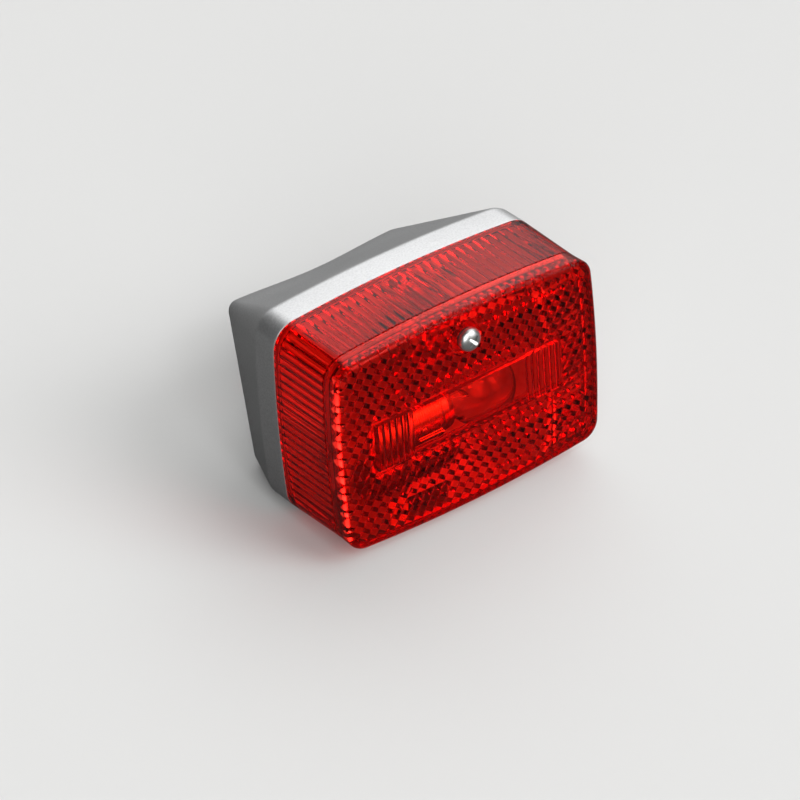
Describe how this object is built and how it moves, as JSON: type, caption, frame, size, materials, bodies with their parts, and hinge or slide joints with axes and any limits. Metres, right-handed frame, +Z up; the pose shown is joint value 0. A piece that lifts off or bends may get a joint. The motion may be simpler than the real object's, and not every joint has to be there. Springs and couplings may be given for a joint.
{
  "type": "motorcycle tail light",
  "caption": "Rectangular tail light: tapered silver housing for a sloping mudguard, fluted red lens with prismatic reflex front and clear window, bayonet bulb inside.",
  "frame": {"origin": "centre of the two mounting holes, on the slanted rear face", "axes": "+X to the right seen from the lens side, +Y from the lens towards the mudguard, +Z up"},
  "size_m": [0.09, 0.0758, 0.0646],
  "materials": {
    "housing_silver": "silver lacquer over moulded plastic, fine metallic grain, satin",
    "rubber_black": "black foam rubber cord, matt",
    "lens_red": "transparent deep red acrylic, polished",
    "reflex_red": "transparent red acrylic, polished outside, corner-cube prisms inside",
    "screw_zinc": "bright zinc-plated steel",
    "plate_zinc": "zinc-plated sheet steel",
    "rivet_steel": "plain steel rivets",
    "terminal_brass": "brass strip, lightly tarnished",
    "socket_brass": "drawn brass shell, dull bright",
    "fibre_brown": "vulcanised fibre",
    "spring_steel": "spring steel wire",
    "phenolic_dark": "moulded phenolic",
    "cap_brass": "nickel-washed brass cap",
    "vitrite_black": "black glass insulator",
    "solder_grey": "dull solder",
    "bulb_clear": "clear blown glass",
    "wire_nickel": "nickel wire",
    "tungsten_dark": "coiled tungsten wire"
  },
  "bodies": {
    "base": {"housing": "housing_silver", "lens_gasket": "rubber_black", "bulb_plate": "plate_zinc", "plate_rivets": "rivet_steel", "ground_tab": "terminal_brass", "socket_shell": "socket_brass", "seat_washer": "fibre_brown", "feed_tab": "terminal_brass", "contact_spring": "spring_steel", "cable_grommet": "rubber_black"},
    "lens": {"lens_body": "lens_red", "reflex_cap": "reflex_red"},
    "seal": {"screw_seal": "rubber_black"},
    "screw": {"lens_screw": "screw_zinc"},
    "contact": {"contact_disc": "phenolic_dark", "centre_contact": "terminal_brass"},
    "bulb": {"bulb_cap": "cap_brass", "bulb_pins": "cap_brass", "bulb_insulator": "vitrite_black", "bulb_contact": "solder_grey", "bulb_glass": "bulb_clear", "bulb_stem": "bulb_clear", "bulb_leads": "wire_nickel", "bulb_filament": "tungsten_dark"}
  },
  "joints": [
    {"name": "lens_pull", "type": "slide", "parent": "base", "child": "lens", "axis": [0, -1, 0], "range_m": [0, 0.045]},
    {"name": "screw_out", "type": "slide", "parent": "lens", "child": "seal", "axis": [0, -1, 0], "range_m": [0, 0.0104]},
    {"name": "screw_turn", "type": "hinge", "parent": "seal", "child": "screw", "pos_m": [0, -0.0634, 0.03125], "axis": [0, -1, 0], "range_deg": [0, 2880]},
    {"name": "bulb_push", "type": "slide", "parent": "base", "child": "contact", "axis": [-1, 0, 0], "range_m": [0, 0.001], "deforming": ["contact_spring"]},
    {"name": "bulb_twist", "type": "hinge", "parent": "contact", "child": "bulb", "pos_m": [0, -0.0452, 0.00125], "axis": [1, 0, 0], "range_deg": [0, 20]}
  ],
  "couplings": [
    {"joint": "screw_turn", "follows": "screw_out", "rad_per_m": 4833.2},
    {"joint": "bulb_push", "follows": "bulb_twist", "m_per_rad": 0.0028648}
  ]
}
